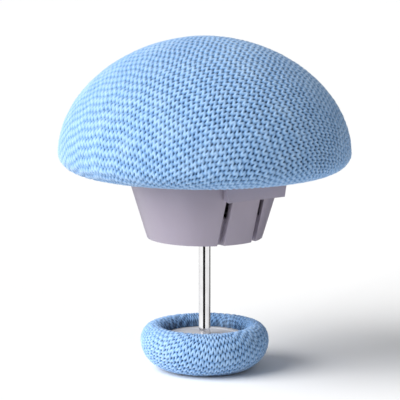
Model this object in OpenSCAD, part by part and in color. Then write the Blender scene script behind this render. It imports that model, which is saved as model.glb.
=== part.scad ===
// Quilt clip: a padded, knit-covered mushroom head with a lock inside its collar, that is pushed
// down on a steel pin standing in a small knit-covered base. The quilt is held in between.
// Millimetres. +Z is up the pin, the origin is on the pin's axis, under the base.
// The slide's side of the collar is at slide_azimuth, turned from -Y towards +X.

/* [Head] */
// Diameter of the head at its widest
head_d = 40; // [36:0.5:50]
// Height of the dome above the head's widest level
dome_rise = 15.85; // [14:0.05:20]
// Height of the rounded rim below the widest level
rim_depth = 2.5; // [2:0.1:3.5]
// Width of the rounded part of the rim, seen from below
rim_round = 3.7; // [2.5:0.1:5]
// Fullness of the dome: 2 is an ellipse, a lower value is more pointed
dome_fullness = 1.92; // [1.8:0.01:2.3]
// Thickness of the foam on the dome
head_foam_t = 2; // [1:0.1:3]
// Wall of the moulded dome
shell_wall = 1.2; // [0.8:0.1:1.8]
// Thickness of the plate that closes the dome
under_plate_t = 1.4; // [1:0.1:2]

/* [Knit covers] */
// Thickness of the knit cloth
cloth_t = 0.6; // [0.4:0.05:0.8]
// Diameter of the thread that gathers a cover's hem
thread_d = 0.44; // [0.3:0.02:0.5]

/* [Collar] */
// Diameter of the collar at its lower edge
collar_bottom_d = 15.8; // [15:0.1:19]
// Diameter of the collar where it meets the head
collar_top_d = 21.35; // [20:0.05:24]
// Height of the collar below the head
collar_h = 9.1; // [8.8:0.1:11]
// Wall and floor of the collar
collar_wall = 1.2; // [0.9:0.1:1.5]

/* [Thumb slide] */
// Direction of the slide, turned from -Y towards +X, in degrees
slide_azimuth = 36; // [0:1:359]
// How far the slide moves down the collar
slide_travel = 2.5; // [2:0.1:2.6]
// Distance of the slide's face from the pin's axis
ledge_reach = 11.8; // [11.4:0.1:12.4]
// Width of the slide's face at its upper edge
ledge_w = 10.3; // [9:0.1:11.4]
// Height of the slide's face
ledge_h = 2.6; // [2.2:0.1:2.8]
// Width of each slot in the collar
slot_w = 0.93; // [0.8:0.01:1.2]
// Distance between the outer edges of the two slots
slot_span = 6.4; // [6:0.1:7]
// Depth of the grooves that lead down from the slots
groove_depth = 0.5; // [0.3:0.05:0.7]

/* [Lock] */
// Tilt of the lock plate while it grips the pin, in degrees
lock_tilt = 12; // [10:0.5:14]
// Thickness of the lock plate
lock_plate_t = 0.5; // [0.4:0.05:0.6]
// Width of the lock plate
lock_plate_w = 3.8; // [3.4:0.1:4]
// Diameter of the hole in the lock plate
lock_hole_d = 1.9; // [1.86:0.01:2.1]
// Diameter of the lock plate's pivot
pivot_d = 0.8; // [0.6:0.05:1]

/* [Pin] */
// Diameter of the pin
pin_d = 1.6; // [1.4:0.05:1.7]
// Length of the pin's point
pin_point_h = 1.8; // [1.2:0.1:2.2]
// Diameter of the pin's flat foot
pin_foot_d = 5; // [4:0.1:6]
// Thickness of the pin's flat foot
pin_foot_t = 0.6; // [0.4:0.05:0.8]

/* [Base] */
// Diameter of the base
base_d = 17.76; // [17:0.02:22]
// Height of the base's ring
base_h = 6.4; // [6.2:0.1:8]
// Height at which the base is widest
base_waist_h = 4.1; // [3.8:0.1:4.6]
// Diameter of the flat that the base stands on
base_flat_d = 9; // [8:0.1:10]
// Diameter of the ring's crest
base_crest_d = 13.86; // [13.4:0.02:15]
// Diameter of the opening inside the ring
base_mouth_d = 10.9; // [10:0.1:11.4]
// Height of the top of the pin's plate
base_plate_h = 4.7; // [4.6:0.05:5]
// Thickness of the pin's plate
base_plate_t = 0.8; // [0.6:0.05:0.9]
// Gap for the quilt between the base and the collar
quilt_gap = 12.1; // [8:0.1:14]

/* [Screws] */
// Thread diameter of the self-tapping screws
screw_d = 1.2; // [1:0.1:1.4]
// Head diameter of the screws
screw_head_d = 2.2; // [1.8:0.1:2.4]
// Head height of the screws
screw_head_h = 0.7; // [0.5:0.1:0.9]

/* [Hidden] */
$fn = 96;
arc_steps = 14;          // points along a rounded corner of a profile
dome_steps = 40;         // points along the dome's profile
eps = 0.01;              // overlap that keeps cuts clean
run_gap = 0.05;          // running clearance on a radius
seat_gap = 0.02;         // clearance of pieces that sit in each other and do not move
loose_gap = 0.3;         // clearance of pieces that pass each other
side_gap = 0.2;          // clearance beside a moving piece or around a spring
coil_gap = 0.03;         // clearance between a spring's end and its seat

// Levels, from the floor up
collar_z = base_h + quilt_gap;             // lower edge of the collar
under_z = collar_z + collar_h;             // underside of the head
seat_z = under_z + cloth_t;                // underside of the plate that closes the dome
plate_top_z = seat_z + under_plate_t;      // top of that plate
waist_z = under_z + rim_depth;             // widest level of the head
floor_z = collar_z + collar_wall;          // top of the collar's floor

// Head
flat_r = head_d / 2 - rim_round;           // where the rim's rounding ends below
foam_inset = cloth_t + head_foam_t;        // outer face of the moulded dome, from the cover's
core_inset = foam_inset + shell_wall;      // inner face of the moulded dome, from the cover's
under_plate_gap = 0.1;                     // play around that plate, with the dome's draft
under_plate_r = flat_r - shell_wall - under_plate_gap;
lip_w = 0.9;                               // width of the lip that the plate seats against
lip_h = 1;                                 // height of that lip

// Collar
taper = atan((collar_top_d - collar_bottom_d) / 2 / collar_h);
wall_x = collar_wall / cos(taper);         // the sloping wall, measured level
boss_r = 1.1;                              // bosses for the screws through the plate
boss_ring_r = 7.35;                        // their distance from the axis
boss_angles = [65, 140, 220, 295];         // their places, counted from the slide
boss_screw_l = 4;
post_r = 1.2;                              // posts that carry the lock
post_ring_r = 4.8;
post_angles = [108, 180, 252];
post_screw_l = 2.6;

// Slide
leg_h = 2;                                 // height of the legs in the slots
leg_w = slot_w - side_gap;
leg_y = slot_span / 2 - slot_w / 2;        // middle of a slot, from the middle of the slide
ledge_top_z = under_z - loose_gap;
ledge_bottom_z = ledge_top_z - ledge_h;
leg_lift = 0.2;                            // how far the legs start above the face's lower edge
leg_z = ledge_bottom_z + leg_h / 2 + leg_lift;  // middle of the legs, on the collar's surface
ledge_draft = 10;                          // slope of the slide's ends, in degrees
ledge_corner_r = 0.6;
ledge_spread = atan(ledge_w / 2 / ledge_reach);  // the ends point to the axis
ledge_back_gap = 0.15;
slot_end_gap = 0.3;                        // play at the ends of the slots
slot_bulge = collar_r(leg_z) - sqrt(pow(collar_r(leg_z), 2) - pow(slot_span / 2, 2));
bar_outer_x = -(collar_wall + slot_bulge + loose_gap);
bar_t = 1.2;                               // thickness of the keeper's bar
leg_end_t = 0.4;                           // bar left behind the legs
leg_end_x = bar_outer_x - bar_t + leg_end_t;
bar_h = leg_h + 3 * side_gap;
bar_w = slot_span + loose_gap;

// Lock
pivot_x = 3.4;                             // the pivot's distance from the axis
pivot_z = seat_z - 1;
knuckle_r = pivot_d / 2 + 0.4;
tab_l = slide_travel * sin(taper) / sin(lock_tilt);  // the tab swings as far as the pusher moves in
tab_w = 2.4;
push_gap = 0.08;
push_x = pivot_x + tab_l * sin(lock_tilt) + lock_plate_t / 2 + push_gap;
push_w = 3;
push_margin = 0.1;                         // the pusher reaches past the tab's end
push_low_z = pivot_z - tab_l - lock_plate_t / 2 - push_margin;
push_high_z = pivot_z - tab_l * cos(lock_tilt) + slide_travel * cos(taper) + push_margin;
plate_hole_x = pivot_x * (1 + 1 / cos(lock_tilt)) / 2;  // from the pivot, between square and tilted
lock_spring_x = 5;                         // the spring's distance from the axis, on the far side
lock_plate_l = pivot_x + lock_spring_x + 4 * side_gap;
carrier_t = 1.2;
carrier_z = push_low_z - carrier_t + side_gap;  // underside of the carrier
carrier_top_z = carrier_z + carrier_t;
carrier_r = 5.9;
cheek_t = 0.8;
cheek_y = lock_plate_w / 2 + side_gap;     // inner face of a cheek
bush_bore_r = pin_d / 2 + run_gap;
bush_wall = 0.8;
bush_r = bush_bore_r + bush_wall;
bush_flange_r = bush_r + bush_wall;
bush_flange_t = 0.6;
upper_bush_h = 2;

// Springs
wire_d = 0.2;
spring_sides = 8;                          // sides of the wire's section
spring_steps = 14;                         // places along each turn
lock_spring_d = 2.2;
lock_spring_turns = 7;
spring_bore_r = lock_spring_d / 2 + side_gap;
spring_boss_h = 2.4;                       // the spring's seat above the plate
spring_roof_t = 0.8;                       // end of that seat
lock_spring_top_z = plate_top_z + spring_boss_h - spring_roof_t;
lock_spring_low_z = pivot_z + lock_plate_t / 2 / cos(lock_tilt) + coil_gap
                    - (pivot_x + lock_spring_x - lock_spring_d / 2) * tan(lock_tilt);
slide_spring_d = 2;
slide_spring_turns = 4.5;
slide_spring_x = push_x + slide_spring_d / 2 + run_gap;
spigot_r = slide_spring_d / 2 - wire_d - side_gap;
spigot_h = 0.6;

// Pin
sheath_r = 2;                              // guard over the pin's point, inside the dome
sheath_bore_r = pin_d / 2 + loose_gap;
sheath_end_t = 0.8;
sheath_roof_gap = 0.25;                    // from the tube to the dome
sheath_top_z = waist_z + dome_rise - core_inset - sheath_roof_gap;
closed_travel = quilt_gap - loose_gap;     // how far the head goes down until it meets the base
pin_tip_z = sheath_top_z - sheath_end_t - loose_gap - closed_travel;
pin_point_r = 0.12;

// Base
base_flat_r = base_flat_d / 2;
crest_r = base_crest_d / 2;
mouth_r = base_mouth_d / 2;
mouth_z = base_plate_h + seat_gap;         // lower edge of the cover, inside the ring
dish_rim_w = 0.95;                         // how far the dish reaches under the ring
dish_r = mouth_r + dish_rim_w;
dish_wall = 0.8;
dish_floor_t = 1.2;
dish_foot_z = cloth_t;                     // the dish stands on the cloth
well_slope_h = 0.5;                        // foot of the slope from the plate's seat
plate_seat_w = 0.6;                        // width of the plate's seat
pin_foot_z = base_plate_h - base_plate_t - 2 * run_gap - pin_foot_t;
washer_t = 0.25;
washer_z = pin_foot_z - washer_t - run_gap;
thread_r = thread_d / 2;
thread_gap = 0.04;                         // air around a hem's thread
base_thread_r = mouth_r + cloth_t + thread_r + 2 * thread_gap;
base_thread_z = mouth_z + thread_r + thread_gap;
head_thread_z = under_z + cloth_t / 2;
head_thread_ring_r = collar_r(seat_z) + thread_r + 3 * run_gap;
hem_r = head_thread_ring_r + thread_r + run_gap;

// Outer radius of the collar at a level
function collar_r(z) = collar_bottom_d / 2 + (z - collar_z) * tan(taper);

// Points on an ellipse about c with half-axes h, from angle a0 to angle a1
function arc(c, h, a0, a1, steps = arc_steps) =
    [for (i = [0 : steps]) let (a = a0 + (a1 - a0) * i / steps) [c[0] + h[0] * cos(a), c[1] + h[1] * sin(a)]];

// The dome's profile, set in from the cover's face, from the widest level to the crown
function dome(inset) =
    let (a = head_d / 2 - inset, c = dome_rise - inset, e = 2 / dome_fullness)
    [for (i = [0 : dome_steps]) let (t = 90 * i / dome_steps)
        [i == dome_steps ? 0 : a * pow(cos(t), e), waist_z + c * pow(sin(t), e)]];

// The rim's profile, set in from the cover's face, from below to the widest level
function rim(inset) = arc([flat_r, waist_z], [rim_round - inset, rim_depth - inset], -90, 0);

// The same list backwards
function back(points) = [for (i = [len(points) - 1 : -1 : 0]) points[i]];

// The base's profile, set in from the cover's face, from the flat below to the ring's mouth
function base_outline(inset) = concat(
    arc([base_flat_r, base_waist_h], [base_d / 2 - base_flat_r - inset, base_waist_h - inset], -90, 0),
    arc([crest_r, base_waist_h], [base_d / 2 - crest_r - inset, base_h - base_waist_h - inset], 6, 90),
    arc([crest_r, mouth_z], [crest_r - mouth_r - inset, base_h - mouth_z - inset], 96, 180));

// Turns to the slide: +X away from the axis through the slide, +Z up
module radial_frame() { rotate([0, 0, slide_azimuth - 90]) children(); }

// Lies on the collar at the slide: +X out of the collar's surface, +Z up along its slope
module slope_frame() {
    radial_frame() translate([collar_r(leg_z), 0, leg_z]) rotate([0, taper, 0]) children();
}

// Places the children around the axis at the angles, counted from the slide
module around(angles, r) {
    radial_frame() for (a = angles) rotate([0, 0, a]) translate([r, 0, 0]) children();
}

module both_sides() { children(); mirror([0, 1, 0]) children(); }

module ring(r_out, r_in, h) {
    difference() {
        cylinder(r = r_out, h = h);
        translate([0, 0, -1]) cylinder(r = r_in, h = h + 2);
    }
}

// Self-tapping screw, head up, with the head's seat at the origin
module screw(length) {
    cross_l = screw_head_d * 0.6;
    cross_w = screw_head_d * 0.11;
    difference() {
        union() {
            cylinder(d = screw_head_d, h = screw_head_h);
            translate([0, 0, -length]) cylinder(d = screw_d, h = length + eps);
        }
        for (a = [0, 90]) rotate([0, 0, a])
            translate([-cross_l / 2, -cross_w / 2, screw_head_h / 2]) cube([cross_l, cross_w, screw_head_h]);
    }
}

// Height of the wire after t turns: close turns at both ends, an even pitch between
function coil_z(t, turns, rise) =
    let (close = wire_d * 1.12)  // pitch of turns that almost touch
    t < 1 ? close * t
    : t > turns - 1 ? rise - close * (turns - t)
    : close + (rise - 2 * close) * (t - 1) / (turns - 2);

// Helical spring along +Z, with outer diameter d
module coil(d, length, turns) {
    count = ceil(turns * spring_steps);
    points = [for (i = [0 : count]) let (t = turns * i / count, z = coil_z(t, turns, length - wire_d))
        for (j = [0 : spring_sides - 1])
            let (b = 360 * j / spring_sides, r = (d - wire_d + wire_d * cos(b)) / 2)
            [r * cos(360 * t), r * sin(360 * t), z + wire_d / 2 * (1 + sin(b))]];
    sides = [for (i = [0 : count - 1]) for (j = [0 : spring_sides - 1])
        let (k = (j + 1) % spring_sides, a = i * spring_sides, b = a + spring_sides)
        [a + j, b + j, b + k, a + k]];
    first = [for (j = [0 : spring_sides - 1]) j];
    last = [for (j = [spring_sides - 1 : -1 : 0]) count * spring_sides + j];
    polyhedron(points = points, faces = concat(sides, [first, last]));
}

// Flanged guide for the pin, standing on the origin, flange up
module bush(h) {
    difference() {
        union() {
            cylinder(r = bush_r, h = h);
            translate([0, 0, h - bush_flange_t]) cylinder(r = bush_flange_r, h = bush_flange_t);
        }
        translate([0, 0, -1]) cylinder(r = bush_bore_r, h = h + 2);
    }
}

// Base: knit cover, with its hem gathered inside the ring
module base_cover() {
    color("lightskyblue") rotate_extrude() polygon(concat(
        [[0, 0]], base_outline(0), back(base_outline(cloth_t)), [[0, cloth_t]]));
}

// Base: thread in the cover's hem
module base_thread() {
    color("steelblue") rotate_extrude()
        translate([base_thread_r, base_thread_z]) circle(r = thread_r, $fn = 24);
}

// Outer profile of the dish, from its foot to its rim
function dish_side() = arc([base_flat_r - cloth_t, base_waist_h],
    [dish_r - base_flat_r + cloth_t, base_waist_h - dish_foot_z], -90, 0);

// Base: soft ring between the dish and the cover, clear of the hem's thread
module base_foam() {
    pocket_r = base_thread_r + thread_r + run_gap;
    crest_z = base_h - cloth_t;
    crest_at = acos((pocket_r - crest_r) / (crest_r - mouth_r - cloth_t));
    color("whitesmoke") rotate_extrude() polygon(concat(
        [for (p = base_outline(cloth_t)) if (p[0] > pocket_r) p],
        [[pocket_r, mouth_z + (crest_z - mouth_z) * sin(crest_at) - seat_gap],
         [pocket_r, base_plate_h], [dish_r, base_plate_h]],
        back(dish_side())));
}

// Base: moulded dish that carries the plate and the pin's washer
module base_dish() {
    seat_r = dish_r - dish_wall;
    well_r = pin_foot_d / 2 + loose_gap;
    well_top = dish_foot_z + dish_floor_t + well_slope_h;
    plate_low = base_plate_h - base_plate_t;
    color("silver") rotate_extrude() polygon(concat(
        [[0, dish_foot_z], [base_flat_r - cloth_t, dish_foot_z]], dish_side(),
        [[dish_r, base_plate_h], [seat_r, base_plate_h], [seat_r, plate_low],
         [seat_r - plate_seat_w, plate_low], [well_r, well_top], [well_r, washer_z], [0, washer_z]]));
}

// Base: light-grey plate over the pin's foot
module base_plate() {
    color("gainsboro") translate([0, 0, base_plate_h - base_plate_t])
        ring(dish_r - dish_wall - seat_gap, bush_bore_r, base_plate_t);
}

// Base: washer that the pin's foot turns on
module thrust_washer() {
    color("white") translate([0, 0, washer_z]) ring(pin_foot_d / 2, pin_d / 2, washer_t);
}

// Steel pin with a flat foot and a blunt point
module pin() {
    color("lightsteelblue") {
        translate([0, 0, pin_foot_z]) cylinder(d = pin_foot_d, h = pin_foot_t);
        translate([0, 0, pin_foot_z]) cylinder(d = pin_d, h = pin_tip_z - pin_point_h - pin_foot_z);
        translate([0, 0, pin_tip_z - pin_point_h - eps])
            cylinder(r1 = pin_d / 2, r2 = pin_point_r, h = pin_point_h + eps);
    }
}

// Head: knit cover over the dome, with its hem gathered around the collar
module head_cover() {
    color("lightskyblue") rotate_extrude() polygon(concat(
        [[hem_r, under_z]], rim(0), dome(0), back(dome(cloth_t)), back(rim(cloth_t)), [[hem_r, seat_z]]));
}

// Head: thread in the cover's hem
module head_thread() {
    color("steelblue") rotate_extrude()
        translate([head_thread_ring_r, head_thread_z]) circle(r = thread_r, $fn = 24);
}

// Head: foam over the moulded dome and around its rim
module head_foam() {
    color("whitesmoke") rotate_extrude() polygon(concat(
        rim(cloth_t), dome(cloth_t), back(dome(foam_inset))));
}

// Head: moulded dome, with a lip inside that the plate seats against
module head_shell() {
    seat_r = under_plate_r + seat_gap;
    lip_top = plate_top_z + lip_h;
    inner = [for (p = dome(core_inset)) if (p[1] > lip_top) p];
    color("lavender") rotate_extrude() polygon(concat(
        [[flat_r, seat_z]], dome(foam_inset), back(inner),
        [[inner[0][0], lip_top], [seat_r - lip_w, lip_top], [seat_r - lip_w, plate_top_z],
         [seat_r, plate_top_z], [seat_r, seat_z]]));
}

// Head: plate that closes the dome, with the seat of the lock's spring
module under_plate() {
    spring_at = [-lock_spring_x, 0, 0];
    color("lavender") difference() {
        translate([0, 0, seat_z]) union() {
            cylinder(r = under_plate_r, h = under_plate_t);
            radial_frame() translate(spring_at)
                cylinder(r = spring_bore_r + 0.6, h = under_plate_t + spring_boss_h);
        }
        translate([0, 0, seat_z - 1]) cylinder(r = sheath_bore_r, h = under_plate_t + 2);
        radial_frame() translate(spring_at + [0, 0, seat_z - 1])
            cylinder(r = spring_bore_r, h = lock_spring_top_z - seat_z + 1);
        around(boss_angles, boss_ring_r) translate([0, 0, seat_z - 1])
            cylinder(d = screw_d + 2 * run_gap, h = under_plate_t + 2);
    }
}

// Head: closed tube that guards the pin's point
module pin_sheath() {
    h = sheath_top_z - plate_top_z;
    color("white") translate([0, 0, plate_top_z]) difference() {
        cylinder(r = sheath_r, h = h);
        translate([0, 0, -1]) cylinder(r = sheath_bore_r, h = h + 1 - sheath_end_t);
    }
}

// Cone with the collar's taper, from one level to another, grown by a distance
module cone(z0, z1, grow) {
    translate([0, 0, z0]) cylinder(r1 = collar_r(z0) + grow, r2 = collar_r(z1) + grow, h = z1 - z0);
}

// A block at each slot, of the given width, on the slot's middle
module at_slots(width, x0, x1, z0, z1) {
    both_sides() translate([x0, leg_y - width / 2, z0]) cube([x1 - x0, width, z1 - z0]);
}

// Collar: tapered lock housing under the head
module collar() {
    slot_low = -leg_h / 2 - slide_travel - slot_end_gap;
    inner_x = -collar_wall - slot_bulge - 1;
    color("thistle") difference() {
        union() {
            difference() {
                cone(collar_z, seat_z, 0);
                cone(floor_z, seat_z + 1, -wall_x);
            }
            intersection() {
                cone(collar_z, seat_z, -wall_x / 2);
                around(boss_angles, boss_ring_r) translate([0, 0, collar_z])
                    cylinder(r = boss_r, h = seat_z - collar_z);
            }
            around(post_angles, post_ring_r) translate([0, 0, collar_z])
                cylinder(r = post_r, h = carrier_z - collar_z);
            radial_frame() translate([slide_spring_x, 0, collar_z])
                cylinder(r = spigot_r, h = collar_wall + spigot_h);
        }
        translate([0, 0, collar_z - 1]) cylinder(r = bush_r + seat_gap, h = collar_wall + 2);
        around(boss_angles, boss_ring_r) translate([0, 0, seat_z - boss_screw_l])
            cylinder(r = screw_d / 2 + seat_gap, h = boss_screw_l + 1);
        around(post_angles, post_ring_r) translate([0, 0, carrier_top_z - post_screw_l])
            cylinder(r = screw_d / 2 + seat_gap, h = post_screw_l + 1);
        slope_frame() {
            at_slots(slot_w, inner_x, 1, slot_low, leg_h / 2 + slot_end_gap);
            at_slots(slot_w, -groove_depth - slot_bulge, 1, -2 * collar_h, slot_low + eps);
        }
    }
}

// Head: screws that hold the collar to the plate
module collar_screws() {
    color("silver") around(boss_angles, boss_ring_r) translate([0, 0, plate_top_z]) screw(boss_screw_l);
}

// Collar: guide for the pin in the floor
module lower_bush() {
    color("goldenrod") translate([0, 0, collar_z]) bush(collar_wall + bush_flange_t);
}

// Lock: guide for the pin in the carrier
module upper_bush() {
    color("goldenrod") translate([0, 0, carrier_z]) bush(carrier_t + bush_flange_t);
}

// Lock: bracket that carries the lock plate's pivot
module lock_carrier() {
    cheek_r = knuckle_r + side_gap / 2;
    notch_x = pivot_x - knuckle_r;
    color("gray") difference() {
        radial_frame() union() {
            translate([0, 0, carrier_z]) intersection() {
                cylinder(r = carrier_r, h = carrier_t);
                translate([pivot_x + cheek_r - 2 * carrier_r, -carrier_r, 0])
                    cube([2 * carrier_r, 2 * carrier_r, carrier_t]);
            }
            both_sides() {
                translate([pivot_x - cheek_r, cheek_y, carrier_z])
                    cube([2 * cheek_r, cheek_t, pivot_z - carrier_z]);
                translate([pivot_x, cheek_y, pivot_z]) rotate([-90, 0, 0]) cylinder(r = cheek_r, h = cheek_t);
            }
        }
        translate([0, 0, carrier_z - 1]) cylinder(r = bush_r + seat_gap, h = carrier_t + 2);
        radial_frame() translate([notch_x, -cheek_y, carrier_z - 1])
            cube([carrier_r, 2 * cheek_y, carrier_t + 2]);
        radial_frame() translate([pivot_x, -carrier_r, pivot_z]) rotate([-90, 0, 0])
            cylinder(r = pivot_d / 2 + seat_gap, h = 2 * carrier_r);
        around(post_angles, post_ring_r) translate([0, 0, carrier_z - 1])
            cylinder(r = screw_d / 2 + run_gap, h = carrier_t + 2);
    }
}

// Lock: screws that hold the carrier on its posts
module carrier_screws() {
    color("silver") around(post_angles, post_ring_r) translate([0, 0, carrier_top_z]) screw(post_screw_l);
}

// Lock: axle of the lock plate
module lock_pivot() {
    half_l = cheek_y + cheek_t;
    color("silver") radial_frame() translate([pivot_x, -half_l, pivot_z]) rotate([-90, 0, 0])
        cylinder(d = pivot_d, h = 2 * half_l);
}

// Lock: spring that tilts the lock plate
module lock_spring() {
    color("darkgray") radial_frame() translate([-lock_spring_x, 0, lock_spring_low_z])
        coil(lock_spring_d, lock_spring_top_z - coil_gap - lock_spring_low_z, lock_spring_turns);
}

// Collar: spring that returns the slide
module slide_spring() {
    low = floor_z + coil_gap;
    color("darkgray") radial_frame() translate([slide_spring_x, 0, low])
        coil(slide_spring_d, push_low_z - coil_gap - low, slide_spring_turns);
}

// Outline of the slide's outer face, seen from above, with its ends pointing to the axis
function ledge_plan() =
    let (x = ledge_reach - ledge_corner_r, y = x * tan(ledge_spread) - ledge_corner_r / cos(ledge_spread),
         corner = arc([x, y], [ledge_corner_r, ledge_corner_r], 0, 90 + ledge_spread))
    concat([[0, 0]], [for (p = back(corner)) [p[0], -p[1]]], corner);

// Slide: outer face and the legs that reach through the slots
module thumb_slide() {
    color("thistle") union() {
        radial_frame() difference() {
            translate([0, 0, ledge_bottom_z]) linear_extrude(ledge_h) polygon(ledge_plan());
            cone(ledge_bottom_z - 1, ledge_top_z + 1, ledge_back_gap);
            both_sides() rotate([0, 0, ledge_spread]) translate([0, 0, ledge_top_z])
                rotate([-ledge_draft, 0, 0]) translate([0, 0, -2 * ledge_h])
                cube([2 * ledge_reach, ledge_w, 4 * ledge_h]);
        }
        slope_frame() at_slots(leg_w, leg_end_x, loose_gap - slot_bulge / 2, -leg_h / 2, leg_h / 2);
    }
}

// Slide: bar behind the wall that ties the legs and pushes the lock plate's tab
module slide_keeper() {
    push_l = collar_r(leg_z) + (bar_outer_x - bar_t / 2) * cos(taper) - push_x;
    seat_z0 = -leg_h / 2 - seat_gap;
    color("plum") difference() {
        union() {
            slope_frame() translate([bar_outer_x - bar_t, -bar_w / 2, -bar_h / 2])
                cube([bar_t, bar_w, bar_h]);
            radial_frame() translate([push_x, -push_w / 2, push_low_z])
                cube([push_l, push_w, push_high_z - push_low_z]);
        }
        slope_frame() at_slots(leg_w + 2 * seat_gap, leg_end_x - seat_gap, 1, seat_z0, -seat_z0);
    }
}

// Lock: plate that grips the pin while it is tilted, with the tab that the slide pushes
module lock_plate() {
    t = lock_plate_t;
    color("slategray") radial_frame() translate([pivot_x, 0, pivot_z]) rotate([0, -lock_tilt, 0])
    difference() {
        union() {
            translate([-lock_plate_l, -lock_plate_w / 2, -t / 2]) cube([lock_plate_l, lock_plate_w, t]);
            translate([0, -lock_plate_w / 2, 0]) rotate([-90, 0, 0])
                cylinder(r = knuckle_r, h = lock_plate_w);
            translate([-t / 2, -tab_w / 2, -tab_l]) cube([t, tab_w, tab_l]);
            translate([0, -tab_w / 2, -tab_l]) rotate([-90, 0, 0]) cylinder(r = t / 2, h = tab_w);
        }
        translate([-plate_hole_x, 0, -1]) cylinder(d = lock_hole_d, h = 2);
        translate([0, -lock_plate_w, 0]) rotate([-90, 0, 0])
            cylinder(r = pivot_d / 2 + run_gap, h = 2 * lock_plate_w);
    }
}

base_cover();
base_thread();
base_foam();
base_dish();
base_plate();
thrust_washer();
pin();
head_cover();
head_thread();
head_foam();
head_shell();
under_plate();
pin_sheath();
collar();
collar_screws();
lower_bush();
upper_bush();
lock_carrier();
carrier_screws();
lock_pivot();
lock_spring();
slide_spring();
thumb_slide();
slide_keeper();
lock_plate();
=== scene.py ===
"""The looks of a quilt clip: a knit-covered mushroom head that locks on a steel pin in a knit-covered base.

Everything is in metres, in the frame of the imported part: +Z up the pin, the origin under the base.
"""

import logging
import math
from dataclasses import dataclass, field
from enum import Enum
from typing import Any, Callable, Iterable, Sequence

import bmesh
import bpy
import numpy as np
from mathutils import Matrix, Vector


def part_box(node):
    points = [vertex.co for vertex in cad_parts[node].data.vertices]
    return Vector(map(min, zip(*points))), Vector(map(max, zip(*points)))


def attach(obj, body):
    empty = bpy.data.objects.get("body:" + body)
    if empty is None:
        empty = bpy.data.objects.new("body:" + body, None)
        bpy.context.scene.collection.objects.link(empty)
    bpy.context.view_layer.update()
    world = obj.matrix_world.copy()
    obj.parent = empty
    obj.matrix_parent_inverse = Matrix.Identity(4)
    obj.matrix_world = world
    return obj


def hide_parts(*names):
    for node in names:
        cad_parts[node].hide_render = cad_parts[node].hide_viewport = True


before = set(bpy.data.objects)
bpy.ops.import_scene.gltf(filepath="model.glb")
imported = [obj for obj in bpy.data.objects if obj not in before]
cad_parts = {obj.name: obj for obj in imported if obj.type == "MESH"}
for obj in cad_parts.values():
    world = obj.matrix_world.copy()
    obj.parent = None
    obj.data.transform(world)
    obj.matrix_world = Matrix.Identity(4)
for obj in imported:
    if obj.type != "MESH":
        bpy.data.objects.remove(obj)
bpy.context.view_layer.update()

log = logging.getLogger("quilt_clip")
MARGIN = 0.001                   # how far a cutting tool reaches past what it cuts
Array = np.ndarray
Colour = tuple[float, float, float]


# ---------------------------------------------------------------- selecting and modelling


def select_only(piece: bpy.types.Object) -> None:
    """Makes one object the selected and active one."""
    bpy.ops.object.select_all(action="DESELECT")
    piece.select_set(True)
    bpy.context.view_layer.objects.active = piece


def new_primitive(name: str, operator: Callable[..., set[str]], **settings: Any) -> bpy.types.Object:
    """Adds a primitive and names it.

    Args:
        name: The piece's name.
        operator: One of bpy.ops.mesh's primitive operators.
        settings: The operator's own settings, in metres.

    Returns:
        The new object, selected alone.
    """
    bpy.ops.object.select_all(action="DESELECT")
    operator(**settings)
    piece = bpy.context.active_object
    piece.name = piece.data.name = name
    return piece


def apply_modifier(piece: bpy.types.Object, kind: str, **settings: Any) -> None:
    """Adds a modifier to a piece, sets it and applies it."""
    select_only(piece)
    modifier = piece.modifiers.new(kind.title(), kind)
    for key, value in settings.items():
        setattr(modifier, key, value)
    bpy.ops.object.modifier_apply(modifier=modifier.name)


def settle(piece: bpy.types.Object) -> None:
    """Moves a piece's place into its mesh, so that its object sits unturned at the origin."""
    select_only(piece)
    bpy.ops.object.transform_apply(location=True, rotation=True, scale=True)


def smooth(piece: bpy.types.Object, angle: float = math.radians(32)) -> None:
    """Shades a piece smooth, but for edges sharper than an angle."""
    select_only(piece)
    bpy.ops.object.shade_smooth_by_angle(angle=angle)


def open_edit(piece: bpy.types.Object, kind: str) -> bmesh.types.BMesh:
    """Opens a piece for editing with nothing selected.

    Args:
        piece: The piece.
        kind: What is selected in it next, "EDGE" or "FACE".

    Returns:
        The mesh being edited.
    """
    select_only(piece)
    bpy.ops.object.mode_set(mode="EDIT")
    bpy.ops.mesh.select_mode(type=kind)
    bpy.ops.mesh.select_all(action="DESELECT")
    return bmesh.from_edit_mesh(piece.data)


def pick_edges(piece: bpy.types.Object, wanted: Callable[[Vector, Vector], bool]) -> None:
    """Opens a piece for editing with the edges selected whose two ends pass a test."""
    mesh = open_edit(piece, "EDGE")
    for edge in mesh.edges:
        edge.select_set(wanted(edge.verts[0].co, edge.verts[1].co))
    mesh.select_flush_mode()
    bmesh.update_edit_mesh(piece.data)


def pick_faces(piece: bpy.types.Object, wanted: Callable[[Vector, Vector], bool]) -> None:
    """Opens a piece for editing with the faces selected whose centre and normal pass a test."""
    mesh = open_edit(piece, "FACE")
    for face in mesh.faces:
        face.select_set(wanted(face.calc_center_median(), face.normal))
    bmesh.update_edit_mesh(piece.data)


def close_edit() -> None:
    """Leaves edit mode."""
    bpy.ops.object.mode_set(mode="OBJECT")


def cut_away(piece: bpy.types.Object, tool: bpy.types.Object) -> None:
    """Takes one solid out of another and removes the tool."""
    apply_modifier(piece, "BOOLEAN", operation="DIFFERENCE", solver="EXACT", object=tool)
    bpy.data.objects.remove(tool)


# ---------------------------------------------------------------- shader maths


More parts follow.
